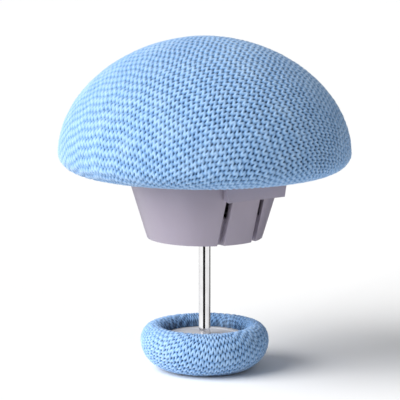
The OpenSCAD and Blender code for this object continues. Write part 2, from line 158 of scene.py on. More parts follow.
class Sock:
    """A shader socket that Python's operators work on: each adds a Math node."""

    def __init__(self, graph: "Graph", socket: bpy.types.NodeSocket) -> None:
        """Keeps the socket and the graph that it is in."""
        self.graph = graph
        self.socket = socket

    def _math(self, operation: str, *values: "Sock | float") -> "Sock":
        """Adds one Math node with its inputs in order."""
        return self.graph.add("ShaderNodeMath", {"operation": operation}, dict(enumerate(values)))

    def __add__(self, other: "Sock | float") -> "Sock":
        """Sum."""
        return self._math("ADD", self, other)

    def __mul__(self, other: "Sock | float") -> "Sock":
        """Product."""
        return self._math("MULTIPLY", self, other)

    def __rsub__(self, other: float) -> "Sock":
        """Difference from a number."""
        return self._math("SUBTRACT", other, self)

    def above(self, low: float, high: float) -> "Sock":
        """A smooth mask that is 0 up to low and 1 from high."""
        limits = {"Value": self, "From Min": low, "From Max": high}
        return self.graph.add("ShaderNodeMapRange", {"interpolation_type": "SMOOTHSTEP"}, limits)


@dataclass
class Graph:
    """A material's node tree, with one method that adds any node."""

    name: str
    material: bpy.types.Material = field(init=False)
    tree: bpy.types.NodeTree = field(init=False)
    shader: bpy.types.Node = field(init=False)

    def __post_init__(self) -> None:
        """Makes the material with a Principled shader and its output."""
        self.material = bpy.data.materials.new(self.name)
        self.material.use_nodes = True
        self.tree = self.material.node_tree
        self.tree.nodes.clear()
        output = self.tree.nodes.new("ShaderNodeOutputMaterial")
        self.shader = self.tree.nodes.new("ShaderNodeBsdfPrincipled")
        self.tree.links.new(self.shader.outputs[0], output.inputs["Surface"])

    def put(self, node: bpy.types.Node, inputs: dict[Any, Any]) -> None:
        """Sets or links a node's inputs."""
        for key, value in inputs.items():
            if isinstance(value, Sock):
                self.tree.links.new(value.socket, node.inputs[key])
            else:
                node.inputs[key].default_value = value

    def add(self, kind: str, settings: dict[str, Any] | None = None, inputs: dict[Any, Any] | None = None,
            result: int | str = 0) -> Sock:
        """Adds a node of any kind.

        Args:
            kind: The node's type.
            settings: Its own settings, set before its sockets are used.
            inputs: Values or sockets for its inputs, by name or number.
            result: The output to return.

        Returns:
            The chosen output.
        """
        node = self.tree.nodes.new(kind)
        for key, value in (settings or {}).items():
            setattr(node, key, value)
        self.put(node, inputs or {})
        return Sock(self, node.outputs[result])

    def place(self) -> Sock:
        """The point's place on the piece, in metres."""
        return self.add("ShaderNodeTexCoord", result="Object")

    def noise(self, scale: float, detail: float = 3, where: Sock | None = None,
              stretch: Colour = (1, 1, 1)) -> Sock:
        """Smooth noise.

        Args:
            scale: Features to the metre.
            detail: Levels of finer noise.
            where: The point, or None for its place on the piece.
            stretch: How much finer the noise is along each axis.

        Returns:
            Noise from 0 to 1.
        """
        point = self.add("ShaderNodeMapping", {}, {"Vector": where or self.place(), "Scale": stretch})
        return self.add("ShaderNodeTexNoise", {}, {"Vector": point, "Scale": scale, "Detail": detail})

    def mix(self, share: Sock, first: Colour | Sock, second: Colour | Sock) -> Sock:
        """A mix of two colours.

        Args:
            share: 0 for the first colour, 1 for the second.
            first: A colour or a colour socket.
            second: A colour or a colour socket.

        Returns:
            The mixed colour.
        """
        node = self.tree.nodes.new("ShaderNodeMix")
        node.data_type = "RGBA"
        colours = {6: first, 7: second}
        rgba = {key: c if isinstance(c, Sock) else (*c, 1) for key, c in colours.items()}
        self.put(node, {0: share, **rgba})
        return Sock(self, node.outputs[2])

    def bump(self, height: Sock, distance: float, strength: float = 1) -> Sock:
        """A normal from a height from 0 to 1 that stands for a distance in metres."""
        return self.add("ShaderNodeBump", {}, {"Height": height, "Distance": distance, "Strength": strength})

    def finish(self, **inputs: Any) -> bpy.types.Material:
        """Sets the shader's inputs, with _ for a space in their names.

        Returns:
            The material.
        """
        self.put(self.shader, {key.replace("_", " "): value for key, value in inputs.items()})
        return self.material


# ---------------------------------------------------------------- finishes


@dataclass(frozen=True)
class KnitCloth:
    """Blue yarn, with painted light on the loops and painted shade, deep blue, in the holes between them."""

    name: str = "knit_cloth"
    # crest, flank and hollow are lit and shaded copies of one yarn colour: painted light on the loops' tops,
    # painted shade on their sides and in the holes between them
    crest: Colour = (0.335, 0.54, 0.83)
    painted_shade_flank: Colour = (0.18, 0.35, 0.63)
    hollow: Colour = (0.010, 0.045, 0.12)
    # pale is a painted highlight on the loops' tops, and also a random paler tone
    pale: Colour = (0.56, 0.74, 0.93)

    def material(self) -> bpy.types.Material:
        """Builds the material. The loops' height sets its painted light and shade; it also reads the cloth's
        own map.
        """
        g = Graph(self.name)
        height = g.add("ShaderNodeAttribute", {"attribute_name": KNIT_HEIGHT_AND_SHADE}, result="Fac")
        cloth = g.add("ShaderNodeUVMap", {"uv_map": KNIT_MAP})
        fibre = g.noise(9.0, 4, cloth, (1, 1, 1))
        cloud = g.noise(260, 2)
        # painted shade: the holes and the loops' sides darker, the tops lighter
        colour = g.mix(height.above(0.12, 0.52), self.hollow, self.painted_shade_flank)
        colour = g.mix(height.above(0.5, 0.97), colour, self.crest)
        # painted highlight on the loops' tops, broken up by the fibres
        colour = g.mix(height.above(0.82, 1.0) * fibre.above(0.46, 0.72), colour, self.pale)
        colour = g.mix(cloud.above(0.45, 0.8) * 0.18, colour, self.pale)
        strands = g.noise(22.0, 5, cloth, (1, 0.35, 1))
        return g.finish(
            Base_Color=colour, Roughness=0.86, Normal=g.bump(strands, 0.00006, 0.7),
            Sheen_Weight=0.45, Sheen_Roughness=0.45, Sheen_Tint=(0.9, 0.95, 1, 1), Specular_IOR_Level=0.25)


@dataclass(frozen=True)
class MouldedPlastic:
    """Satin moulded plastic with a very fine grain and faint flow marks."""

    name: str
    colour: Colour
    shade: Colour
    roughness: float = 0.42
    grain: float = 0.000012
    coat: float = 0.0

    def material(self) -> bpy.types.Material:
        """Builds the material."""
        g = Graph(self.name)
        flow = g.noise(130, 3, stretch=(1, 1, 0.45))
        grain = g.noise(9000, 2)
        rub = g.noise(520, 5)
        return g.finish(
            Base_Color=g.mix(flow.above(0.3, 0.75), self.colour, self.shade),
            Roughness=rub * 0.16 + (self.roughness - 0.08),
            Normal=g.bump(grain, self.grain, 0.5), Coat_Weight=self.coat, Coat_Roughness=0.25,
            Specular_IOR_Level=0.45)


class Lay(Enum):
    """How a metal piece was worked."""

    POLISHED = "polished"
    TURNED = "turned"
    GROUND = "ground"


@dataclass(frozen=True)
class Metal:
    """Metal with the marks of its making."""

    name: str
    colour: Colour
    lay: Lay
    roughness: float

    def material(self) -> bpy.types.Material:
        """Builds the material."""
        stretch = {Lay.POLISHED: (1, 1, 0.05), Lay.TURNED: (0.1, 0.1, 5), Lay.GROUND: (6, 0.2, 0.2)}[self.lay]
        depth = {Lay.POLISHED: 0.0000006, Lay.TURNED: 0.000004, Lay.GROUND: 0.000005}[self.lay]
        g = Graph(self.name)
        lines = g.noise(5200, 3, stretch=stretch)
        haze = g.noise(420, 4)
        darker = tuple(c * 0.86 for c in self.colour)
        return g.finish(
            Base_Color=g.mix(haze.above(0.35, 0.8), self.colour, darker), Metallic=1.0,
            Roughness=haze * (self.roughness * 0.6) + self.roughness * 0.7,
            Normal=g.bump(lines, depth, 0.6))


@dataclass(frozen=True)
class Foam:
    """Open-cell foam: pale, with small pits darkened by painted shade."""

    name: str = "open_cell_foam"
    colour: Colour = (0.86, 0.86, 0.82)
    painted_pit_shade: Colour = (0.55, 0.55, 0.5)

    def material(self) -> bpy.types.Material:
        """Builds the material."""
        g = Graph(self.name)
        cells = g.add("ShaderNodeTexVoronoi", {}, {"Vector": g.place(), "Scale": 3200.0}, result="Distance")
        # painted shade in the pits of the cells
        painted_pit_shade_mask = 1 - cells.above(0.05, 0.5)
        return g.finish(
            Base_Color=g.mix(painted_pit_shade_mask, self.colour, self.painted_pit_shade), Roughness=0.95,
            Normal=g.bump(cells, 0.00015, 0.8), Specular_IOR_Level=0.1)


@dataclass(frozen=True)
class TwistedThread:
    """Sewing thread with its twist, with painted light on the plies' crowns and painted shade between them.
    """

    name: str = "twisted_thread"
    colour: Colour = (0.20, 0.37, 0.62)
    # light is painted light on the crowns of the plies
    light: Colour = (0.42, 0.60, 0.85)

    def material(self) -> bpy.types.Material:
        """Builds the material."""
        g = Graph(self.name)
        ply = g.add("ShaderNodeTexWave", {"bands_direction": "DIAGONAL"},
                    {"Vector": g.place(), "Scale": 900.0, "Distortion": 1.5, "Detail": 2.0}, result="Fac")
        # the ply pattern sets both the bump and the painted light on the plies' crowns
        return g.finish(Base_Color=g.mix(ply, self.colour, self.light), Roughness=0.75,
                        Normal=g.bump(ply, 0.00008, 0.8), Sheen_Weight=0.3)


# ---------------------------------------------------------------- the knit

# the loops' height, darkened with painted shade in the gathers' folds and towards the hem; the cloth's
# painted light and shade are coloured from it
KNIT_HEIGHT_AND_SHADE = "loop_height_and_painted_shade"
KNIT_MAP = "cloth_map"
MAP_SCALE = 1000                 # the cloth's map is in millimetres
CHANCE_TABLE = 64
LINING_HEIGHT = 0.5              # loop height that the lining is coloured by


@dataclass
class Outline:
    """A cover's half section, from its pole to its hem, with the distance along it."""

    radius: Array
    height: Array

    def __post_init__(self) -> None:
        """Works out the distance along the outline and the outward normal."""
        dr, dz = np.gradient(self.radius), np.gradient(self.height)
        step = np.hypot(np.diff(self.radius), np.diff(self.height))
        self.along = np.concatenate([[0], np.cumsum(step)])
        length = np.hypot(dr, dz)
        turn = 1.0 if self.height[0] > self.height.mean() else -1.0
        self.normal_r, self.normal_z = -dz / length * turn, dr / length * turn

    def at(self, along: Array) -> tuple[Array, Array, Array, Array]:
        """Radius, height and the normal's two parts at distances along the outline."""
        parts = (self.radius, self.height, self.normal_r, self.normal_z)
        return tuple(np.interp(along, self.along, part) for part in parts)

    @property
    def length(self) -> float:
        """The outline's whole length."""
        return float(self.along[-1])


def quarter(centre: Sequence[float], half: Sequence[float], start: float, end: float,
            steps: int = 240) -> Array:
    """Points on an ellipse.

    Args:
        centre: Its centre, as radius and height.
        half: Its half-axes.
        start: The first angle, in degrees.
        end: The last angle, in degrees.
        steps: The number of stretches.

    Returns:
        An array of radius and height.
    """
    angle = np.radians(np.linspace(start, end, steps + 1))
    return np.stack([centre[0] + half[0] * np.cos(angle), centre[1] + half[1] * np.sin(angle)], 1)


@dataclass
class Knit:
    """Plain knit: columns of V-shaped stitches, as a height over a flat cloth."""

    column: float = 0.00082          # width of a column of stitches
    pitch: float = 0.00118           # length of a stitch along its column
    relief: float = 0.00034          # from the hollows to the top of the yarn
    heading: float = 0.0             # direction across the columns, in degrees from -Y towards +X
    lean: float = 0.5                # how far a leg leans, in stitches
    wander: float = 0.00006          # how far a column strays
    eye_length: float = 0.5          # half length of the hole at a loop's foot, in half stitches
    eye_width: float = 0.34          # half width of that hole, in half columns
    eye_depth: float = 0.62          # the shallowest hole, as a share of the relief
    eye_spread: float = 0.35         # how much deeper the deepest hole is
    yarn_dip: float = 0.3            # how far a stitch falls away at its ends
    leg_dip: float = 0.2             # how far a leg falls away at its sides
    uneven: float = 0.14             # how much lower a slack leg lies
    seed: int = 3

    def flat(self, reach: Array, azimuth: Array) -> tuple[Array, Array]:
        """A point's place on the flat cloth, across and along the columns."""
        turned = azimuth - math.radians(self.heading)
        return reach * np.cos(turned), reach * np.sin(turned)

    def height(self, across: Array, along: Array) -> Array:
        """The yarn's height at places on the flat cloth.

        Args:
            across: Distance across the columns.
            along: Distance along the columns.

        Returns:
            0 in the deepest hollow to 1 on the yarn's crest.
        """
        stray = self.wander * (np.sin(along * 900 + across * 310) + np.sin(along * 1730 - across * 640 + 1.3))
        a = (across + stray) / self.column
        column = np.floor(a)
        side = np.abs(a - column - 0.5) * 2
        b = along / self.pitch + 0.12 * np.sin(across * 1400 + 0.7) - self.lean * side
        stitch = np.floor(b)
        gap = np.abs(b - stitch - 0.5) * 2
        pick = self._chance(column, stitch)
        pick_leg = self._chance(column * 2 + (a - column > 0.5), stitch + 57)
        yarn = 1 - self.yarn_dip * (1 - np.sqrt(np.clip(1 - gap ** 3, 0, 1)))
        arch = 1 - self.leg_dip * (1 - np.sqrt(np.clip(1 - np.abs(2 * side - 1) ** 2.2, 0, 1)))
        reach = ((1 - gap) / self.eye_length) ** 2
        middle = np.exp(-(side / self.eye_width) ** 2 - reach)
        border = np.exp(-((1 - side) / self.eye_width) ** 2 - reach)
        loop = yarn * arch * (1 - self.uneven * (1 - pick_leg))
        return np.clip(loop - (middle + border) * (self.eye_depth + self.eye_spread * pick), 0, 1)

    def _chance(self, column: Array, stitch: Array) -> Array:
        """A fixed number from 0 to 1 for each stitch."""
        table = np.random.default_rng(self.seed).random((CHANCE_TABLE, CHANCE_TABLE))
        return table[column.astype(int) % CHANCE_TABLE, stitch.astype(int) % CHANCE_TABLE]


@dataclass
class KnitCover:
    """A cover of knit cloth over a round form, with a smooth lining, as one closed mesh."""

    name: str
    outline: Outline
    knit: Knit
    cloth: float                     # thickness of the cloth
    segments: int                    # around the form
    ring_step: float                 # between rings of the face
    draw_in: float = 0.04            # how much shorter the cloth's radius is than the outline
    gather_from: float = 1.0         # share of the outline where gathers start
    gathers: int = 0                 # folds around the hem
    gather_depth: float = 0.0
    painted_fold_shade: float = 0.35         # painted shade: how much darker the cloth is in the gathers' folds
    lining_step: int = 10            # rings of the face to one ring of the lining
    lump: float = 0.0                # slow unevenness of the padding
    fade: float = 0.0                # how much of the loops' relief the gathers hide
    painted_hem_shade: float = 0.0                # painted shade: how much darker the cloth gets towards its hem

    def build(self) -> bpy.types.Object:
        """Builds the cover.

        Returns:
            The new object, with the loops' height, darkened with painted shade, and the cloth's map on its
            mesh.
        """
        rings = int(self.outline.length / self.ring_step)
        face = np.linspace(0, self.outline.length, rings + 1)[1:]
        lining = face[::-self.lining_step][:-1]
        azimuth = np.linspace(0, 2 * math.pi, self.segments, endpoint=False)
        along = np.concatenate([face, lining])
        inside = np.concatenate([np.zeros(len(face)), np.ones(len(lining))])
        s, az = np.meshgrid(along, azimuth, indexing="ij")
        inner = np.repeat(inside[:, None], self.segments, 1)
        points, height, flat = self._surface(s, az, inner)
        poles, pole_height, pole_flat = self._surface(
            np.full((2, 1), 1e-7), np.zeros((2, 1)), np.array([[0.0], [1.0]]))
        points = np.concatenate([points.reshape(-1, 3), poles.reshape(-1, 3)])
        height = np.concatenate([height.ravel(), pole_height.ravel()])
        flat = np.concatenate([flat.reshape(-1, 2), pole_flat.reshape(-1, 2)])
        return self._mesh(points, height, flat, len(along))

    def _surface(self, s: Array, az: Array, inner: Array) -> tuple[Array, Array, Array]:
        """Places, loop heights darkened with painted shade, and flat places of points at distances along the
        outline.
        """
        whole = self.outline.length
        radius, level, normal_r, normal_z = self.outline.at(s)
        reach = s * (1 - self.draw_in * (s / whole) ** 2)
        across, along = self.knit.flat(reach, az)
        height = self.knit.height(across, along)
        gathered = np.clip((s / whole - self.gather_from) / max(1e-6, 1 - self.gather_from), 0, 1)
        gathered = gathered * gathered * (3 - 2 * gathered)
        relief = self.knit.relief * (1 - self.fade * gathered)
        pleat = np.sin(self.gathers * az + 1.7 * np.sin(3 * az) + 0.9 * np.sin(7 * az + 1))
        slow = np.sin(2 * az + 0.4) * np.sin(s / whole * 5) + 0.6 * np.sin(5 * az + 2 + 3 * s / whole)
        fold = 0.5 - 0.5 * pleat
        drop = relief * (1 - height) + self.gather_depth * gathered * fold
        drop = drop + self.lump * (0.8 - 0.5 * slow) * np.sin(np.clip(s / whole, 0, 1) * math.pi)
        drop = np.where(inner > 0.5, self.cloth, drop)
        r = radius - normal_r * drop
        z = level - normal_z * drop
        points = np.stack([r * np.sin(az), -r * np.cos(az), z], -1)
        # the height that colours the cloth, darkened with painted shade in the gathers' folds and towards the
        # hem
        height_with_painted_shade = height * (1 - self.painted_fold_shade * gathered * fold) * (1 - self.painted_hem_shade * gathered ** 2)
        return points, np.where(inner > 0.5, LINING_HEIGHT, height_with_painted_shade), np.stack([across, along], -1)

    def _mesh(self, points: Array, height: Array, flat: Array, rings: int) -> bpy.types.Object:
        """Makes the closed mesh from rings of points and the two poles."""
        n = self.segments
        ring = np.arange(rings - 1)[:, None] * n
        here = np.arange(n)[None, :]
        following = (here + 1) % n
        quads = np.stack([ring + here, ring + n + here, ring + n + following, ring + following], -1)
        top, bottom = rings * n, rings * n + 1
        first = np.arange(n)
        next_first = (first + 1) % n
        last = (rings - 1) * n
        caps = np.concatenate([
            np.stack([np.full(n, top), first, next_first], -1),
            np.stack([np.full(n, bottom), last + next_first, last + first], -1)])
        mesh = bpy.data.meshes.new(self.name)
        mesh.from_pydata(points.tolist(), [], quads.reshape(-1, 4).tolist() + caps.tolist())
        loops = mesh.attributes.new(KNIT_HEIGHT_AND_SHADE, "FLOAT", "POINT")
        loops.data.foreach_set("value", height.astype(np.float32))
        corners = np.empty(len(mesh.loops), np.int32)
        mesh.loops.foreach_get("vertex_index", corners)
        cloth_map = mesh.uv_layers.new(name=KNIT_MAP)
        cloth_map.data.foreach_set("uv", (flat[corners] * MAP_SCALE).astype(np.float32).ravel())
        mesh.polygons.foreach_set("use_smooth", np.ones(len(mesh.polygons), bool))
        mesh.update()
        piece = bpy.data.objects.new(self.name, mesh)
        bpy.context.scene.collection.objects.link(piece)
        self._turn_out(piece)
        return piece

    @staticmethod
    def _turn_out(piece: bpy.types.Object) -> None:
        """Turns the faces outwards if the closed mesh is inside out."""
        mesh = bmesh.new()
        mesh.from_mesh(piece.data)
        if mesh.calc_volume(signed=True) < 0:
            bmesh.ops.reverse_faces(mesh, faces=mesh.faces)
            mesh.to_mesh(piece.data)
        mesh.free()


# ---------------------------------------------------------------- sub-assemblies


def dress(piece: bpy.types.Object, material: bpy.types.Material) -> None:
    """Gives a piece one material."""
    piece.data.materials.clear()
    piece.data.materials.append(material)


def repaint(nodes: Iterable[str], material: bpy.types.Material) -> None:
    """Gives carried-over nodes of the frame a finished material."""
    for name in nodes:
        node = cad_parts[name]
        for place in node.material_slots:
            place.material = material
        log.info("%s: %s", name, material.name)


@dataclass
class HeadPad:
    """The padded head: knit cloth over foam, drawn in under the rim."""

    rim_depth: float = 0.0025
    rim_round: float = 0.0037
    fullness: float = 1.92
    cloth: float = 0.0006
    hem_gap: float = 0.00005

    def outline(self) -> Outline:
        """The cover's half section, from the crown to the hem."""
        low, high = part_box("head_cover")
        radius = (high.x - low.x) / 2
        widest = low.z + self.rim_depth
        power = 2 / self.fullness
        turn = np.radians(np.linspace(90, 0, 1400))
        cosine = np.clip(np.cos(turn), 0, 1)
        dome = np.stack([radius * cosine ** power, widest + (high.z - widest) * np.sin(turn) ** power], 1)
        rim = quarter((radius - self.rim_round, widest), (self.rim_round, self.rim_depth), 0, -90)
        thread_low, thread_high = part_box("head_thread")
        hem = (thread_high.x - thread_low.x) / 2 + self.hem_gap
        flat = np.stack([np.linspace(radius - self.rim_round, hem, 120), np.full(120, low.z)], 1)
        points = np.concatenate([dome, rim[1:], flat[1:]])
        return Outline(points[:, 0], points[:, 1])

    def build(self, cloth: bpy.types.Material) -> None:
        """Builds the cover and dresses it."""
        # painted shade darkens the cloth in the folds of its gathers under the rim
        cover = KnitCover(
            "head_knit", self.outline(), Knit(heading=47.0, seed=3), self.cloth,
            segments=960, ring_step=0.00012, draw_in=0.06, gather_from=0.86, gathers=46,
            gather_depth=0.00022, fade=0.45).build()
        dress(cover, cloth)
        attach(cover, "head")
        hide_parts("head_cover")
        log.info("head_knit: %d faces", len(cover.data.polygons))


@dataclass
class BasePad:
    """The padded base: knit cloth gathered up around a soft ring."""

    flat: float = 0.0045
    waist: float = 0.0041
    crest: float = 0.00693
    mouth: float = 0.00545
    cloth: float = 0.0006
    mouth_gap: float = 0.00002

    def outline(self) -> Outline:
        """The cover's half section, from under its middle to the hem in the ring."""
        low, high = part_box("base_cover")
        radius = (high.x - low.x) / 2
        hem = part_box("base_plate")[1].z + self.mouth_gap
        under = np.stack([np.linspace(0, self.flat, 200), np.full(200, low.z)], 1)
        side = quarter((self.flat, self.waist), (radius - self.flat, self.waist - low.z), -90, 0)
        shoulder = quarter((self.crest, self.waist), (radius - self.crest, high.z - self.waist), 0, 90)
        inner = quarter((self.crest, hem), (self.crest - self.mouth, high.z - hem), 90, 180)
        points = np.concatenate([under, side[1:], shoulder[1:], inner[1:]])
        return Outline(points[:, 0], points[:, 1])

    def build(self, cloth: bpy.types.Material) -> None:
        """Builds the cover and dresses it."""
        # painted shade darkens the cloth towards its hem, deep in the ring, and in the gathers' folds
        cover = KnitCover(
            "base_knit", self.outline(), Knit(heading=-78.0, seed=8, relief=0.00033), self.cloth,
            segments=600, ring_step=0.0001, draw_in=0.0, gather_from=0.80, gathers=30,
            gather_depth=0.0001, lump=0.00003, fade=0.7, painted_hem_shade=0.62).build()
        dress(cover, cloth)
        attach(cover, "base")
        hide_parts("base_cover")
        # reflections skip the ring, so that the pin's foot shows the studio's stripes
        inner = [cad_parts[name] for name in ("base_dish", "base_foam", "base_thread")]
        for piece in (cover, *inner):
            piece.visible_glossy = False
        log.info("base_knit: %d faces", len(cover.data.polygons))


@dataclass
class SlideSide:
    """The side of the collar where the thumb slide runs, and what the collar and the slide share."""

    heading: float = 36.0            # from -Y towards +X, in degrees
    bottom_radius: float = 0.0079
    top_radius: float = 0.010675     # where the collar meets the head
    low: float = 0.0185
    high: float = 0.0276
    slot_width: float = 0.00093
    slot_span: float = 0.0064        # between the outer edges of the two slots
    leg_height: float = 0.002
    leg_level: float = 0.0259        # middle of the legs, on the collar's surface

    @property
    def taper(self) -> float:
        """The wall's slope, in radians."""
        return math.atan((self.top_radius - self.bottom_radius) / (self.high - self.low))

    def radius(self, level: float) -> float:
        """The collar's outer radius at a level."""
        return self.bottom_radius + (level - self.low) * math.tan(self.taper)

    @property
    def bulge(self) -> float:
        """How far the wall curves back from its middle to a slot's outer edge."""
        radius = self.radius(self.leg_level)
        return radius - math.sqrt(radius ** 2 - (self.slot_span / 2) ** 2)

    @property
    def slot_middle(self) -> float:
        """From the slide's middle to a slot's middle."""
        return (self.slot_span - self.slot_width) / 2

    def turn(self) -> Matrix:
        """Turns +X to the slide."""
        return Matrix.Rotation(math.radians(self.heading - 90), 4, "Z")

    def slope(self) -> Matrix:
        """Lies on the wall at the slide: +X out of it, +Z up along it."""
        out = Matrix.Translation((self.radius(self.leg_level), 0, self.leg_level))
        return self.turn() @ out @ Matrix.Rotation(self.taper, 4, "Y")

    def block(self, name: str, width: float, side: int, along_x: Sequence[float],
              along_z: Sequence[float]) -> bpy.types.Object:
        """A block on one slot's middle, lying on the wall.

        Args:
            name: The block's name.
            width: Across the slot.
            side: -1 or 1 for the two slots.
            along_x: From and to, out of the wall.
            along_z: From and to, up the wall.

        Returns:
            The block, settled in its place.
        """
        block = new_primitive(name, bpy.ops.mesh.primitive_cube_add, size=1.0)
        block.scale = (along_x[1] - along_x[0], width, along_z[1] - along_z[0])
        settle(block)
        middle = Vector((sum(along_x) / 2, side * self.slot_middle, sum(along_z) / 2))
        block.matrix_world = self.slope() @ Matrix.Translation(middle)
        settle(block)
        return block


@dataclass
class Collar:
    """The moulded collar under the head: a tapered cup with two slots and the grooves below them."""

    side: SlideSide
    wall: float = 0.0012
    bush_radius: float = 0.00167     # the floor's hole for the pin's lower bush
    groove: float = 0.0009
    slot_edge: float = 0.0005        # the wall's thickness beside the slots
    slot_relief: float = 0.0008      # how much wider the pocket behind a slot is
    play: float = 0.0003
    travel: float = 0.0025
    edge: float = 0.00014

    def build(self, plastic: bpy.types.Material) -> None:
        """Builds the collar and dresses it."""
        low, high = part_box("collar")
        height = high.z - low.z
        collar = new_primitive(
            "collar_cup", bpy.ops.mesh.primitive_cone_add, vertices=192, depth=height,
            radius1=self.side.bottom_radius, radius2=self.side.radius(high.z),
            location=(0, 0, low.z + height / 2))
        settle(collar)
        self._hollow(collar, low.z, high.z)
        bush_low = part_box("lower_bush")[0]
        bore = new_primitive(
            "bush_bore", bpy.ops.mesh.primitive_cylinder_add, vertices=96, depth=4 * self.wall,
            radius=self.bush_radius, location=(0, 0, bush_low.z))
        cut_away(collar, bore)
        half = self.side.leg_height / 2
        foot = -half - self.travel - self.play
        for side in (-1, 1):
            slot = self.side.block(
                "slot", self.side.slot_width, side, (-self.wall - self.side.bulge - MARGIN, MARGIN),
                (foot, half + self.play))
            cut_away(collar, slot)
            groove = self.side.block(
                "groove", self.side.slot_width, side, (-self.groove - self.side.bulge, MARGIN),
                (-2 * height, foot + 0.00001))
            cut_away(collar, groove)
            pocket = self.side.block(
                "pocket", self.side.slot_width + self.slot_relief, side,
                (-self.wall - self.side.bulge - MARGIN, -self.slot_edge - self.side.bulge),
                (foot - self.slot_relief / 2, half + self.slot_relief / 2))
            cut_away(collar, pocket)
        apply_modifier(collar, "BEVEL", width=self.edge, segments=3, limit_method="ANGLE",
                       angle_limit=math.radians(40), use_clamp_overlap=True)
        smooth(collar)
        dress(collar, plastic)
        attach(collar, "head")
        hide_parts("collar")
        log.info("collar_cup: %d faces", len(collar.data.polygons))

    def _hollow(self, collar: bpy.types.Object, low: float, high: float) -> None:
        """Sinks the cone's top face to leave a wall and a floor."""
        level = self.wall / math.cos(self.side.taper)
        floor = low + self.wall
        pick_faces(collar, lambda middle, normal: normal.z > 0.9 and middle.z > high - 1e-5)
        bpy.ops.mesh.inset(thickness=level)
        bpy.ops.mesh.extrude_region_move(TRANSFORM_OT_translate={"value": (0, 0, floor - high)})
        share = (self.side.radius(floor) - level) / (self.side.radius(high) - level)
        bpy.ops.transform.resize(value=(share, share, 1), center_override=(0, 0, 0))
        close_edit()


@dataclass
class ThumbSlide:
    """The slide's outer face, with ends that point to the axis, and its two legs."""

    side: SlideSide
    reach: float = 0.0118
    width: float = 0.0103
    draft: float = 10.0
    back_gap: float = 0.00015
    face_height: float = 0.0026
    back_share: float = 0.75         # where the block starts, inside the collar's surface
    leg_play: float = 0.0002
    leg_inside: float = 0.0023       # how far a leg reaches into the collar
    leg_outside: float = 0.0003
    edge: float = 0.00028

    def build(self, plastic: bpy.types.Material) -> None:
        """Builds the slide and dresses it."""
        ledge = self._ledge()
        for side in (-1, 1):
            half = self.side.leg_height / 2
            leg = self.side.block(
                "leg", self.side.slot_width - self.leg_play, side,
                (-self.leg_inside - self.side.bulge, self.leg_outside - self.side.bulge / 2), (-half, half))
            apply_modifier(ledge, "BOOLEAN", operation="UNION", solver="EXACT", object=leg)
            bpy.data.objects.remove(leg)
        apply_modifier(ledge, "BEVEL", width=self.edge, segments=4, limit_method="ANGLE",
                       angle_limit=math.radians(50), use_clamp_overlap=True)
        smooth(ledge)
        dress(ledge, plastic)
        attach(ledge, "slide")
        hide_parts("thumb_slide")
        log.info("slide_face: %d faces", len(ledge.data.polygons))

    def _ledge(self) -> bpy.types.Object:
        """The face's block, with a back that follows the collar."""
        low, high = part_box("thumb_slide")[0].z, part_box("thumb_slide")[1].z
        low = max(low, high - self.face_height)
        back = self.side.radius(low) * self.back_share
        ledge = new_primitive("slide_face", bpy.ops.mesh.primitive_cube_add, size=1.0)
        ledge.scale = (self.reach - back, self.width, high - low)
        ledge.location = ((self.reach + back) / 2, 0, (high + low) / 2)
        settle(ledge)
        pick_faces(ledge, lambda middle, normal: normal.x < -0.9)
        bpy.ops.transform.resize(value=(1, back / self.reach, 1), center_override=(0, 0, 0))
        close_edit()
        narrow = 1 - 2 * (high - low) * math.tan(math.radians(self.draft)) / self.width
        pick_faces(ledge, lambda middle, normal: normal.z < -0.9)
        bpy.ops.transform.resize(value=(1, narrow, 1), center_override=(0, 0, 0))
        close_edit()
        ledge.matrix_world = self.side.turn()
        settle(ledge)
        gap = self.back_gap
        core = new_primitive(
            "collar_core", bpy.ops.mesh.primitive_cone_add, vertices=192, depth=high - low + 2 * MARGIN,
            radius1=self.side.radius(low - MARGIN) + gap, radius2=self.side.radius(high + MARGIN) + gap,
            location=(0, 0, (high + low) / 2))
        cut_away(ledge, core)
        return ledge


@dataclass
class Pin:
    """The polished pin: a round shaft with a blunt point, on a flat foot."""

    point: float = 0.0018
    tip_share: float = 0.15
    shaft_radius: float = 0.0008
    foot_height: float = 0.0006
    edge: float = 0.00005
    shading_angle: float = 12.0      # small, so that the long sides keep straight normals

    def build(self, steel: bpy.types.Material) -> None:
        """Builds the pin and dresses it."""
        low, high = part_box("pin")
        foot_radius = (high.x - low.x) / 2
        shaft_low = low.z + self.foot_height / 2
        shaft_high = high.z - self.point
        pin = new_primitive(
            "pin_shaft", bpy.ops.mesh.primitive_cylinder_add, vertices=128, radius=self.shaft_radius,
            depth=shaft_high - shaft_low, location=(0, 0, (shaft_high + shaft_low) / 2))
        settle(pin)
        pick_faces(pin, lambda middle, normal: normal.z > 0.9)
        bpy.ops.mesh.extrude_region_move(TRANSFORM_OT_translate={"value": (0, 0, self.point)})
        bpy.ops.transform.resize(value=(self.tip_share, self.tip_share, 1), center_override=(0, 0, 0))
        close_edit()
        foot = new_primitive(
            "pin_foot", bpy.ops.mesh.primitive_cylinder_add, vertices=128, radius=foot_radius,
            depth=self.foot_height, location=(0, 0, low.z + self.foot_height / 2))
        settle(foot)
        apply_modifier(pin, "BOOLEAN", operation="UNION", solver="EXACT", object=foot)
        bpy.data.objects.remove(foot)
        apply_modifier(pin, "BEVEL", width=self.edge, segments=2, limit_method="ANGLE",
                       angle_limit=math.radians(25))
        smooth(pin, math.radians(self.shading_angle))
        dress(pin, steel)
        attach(pin, "pin")
        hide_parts("pin")
        log.info("pin_shaft: %d faces", len(pin.data.polygons))


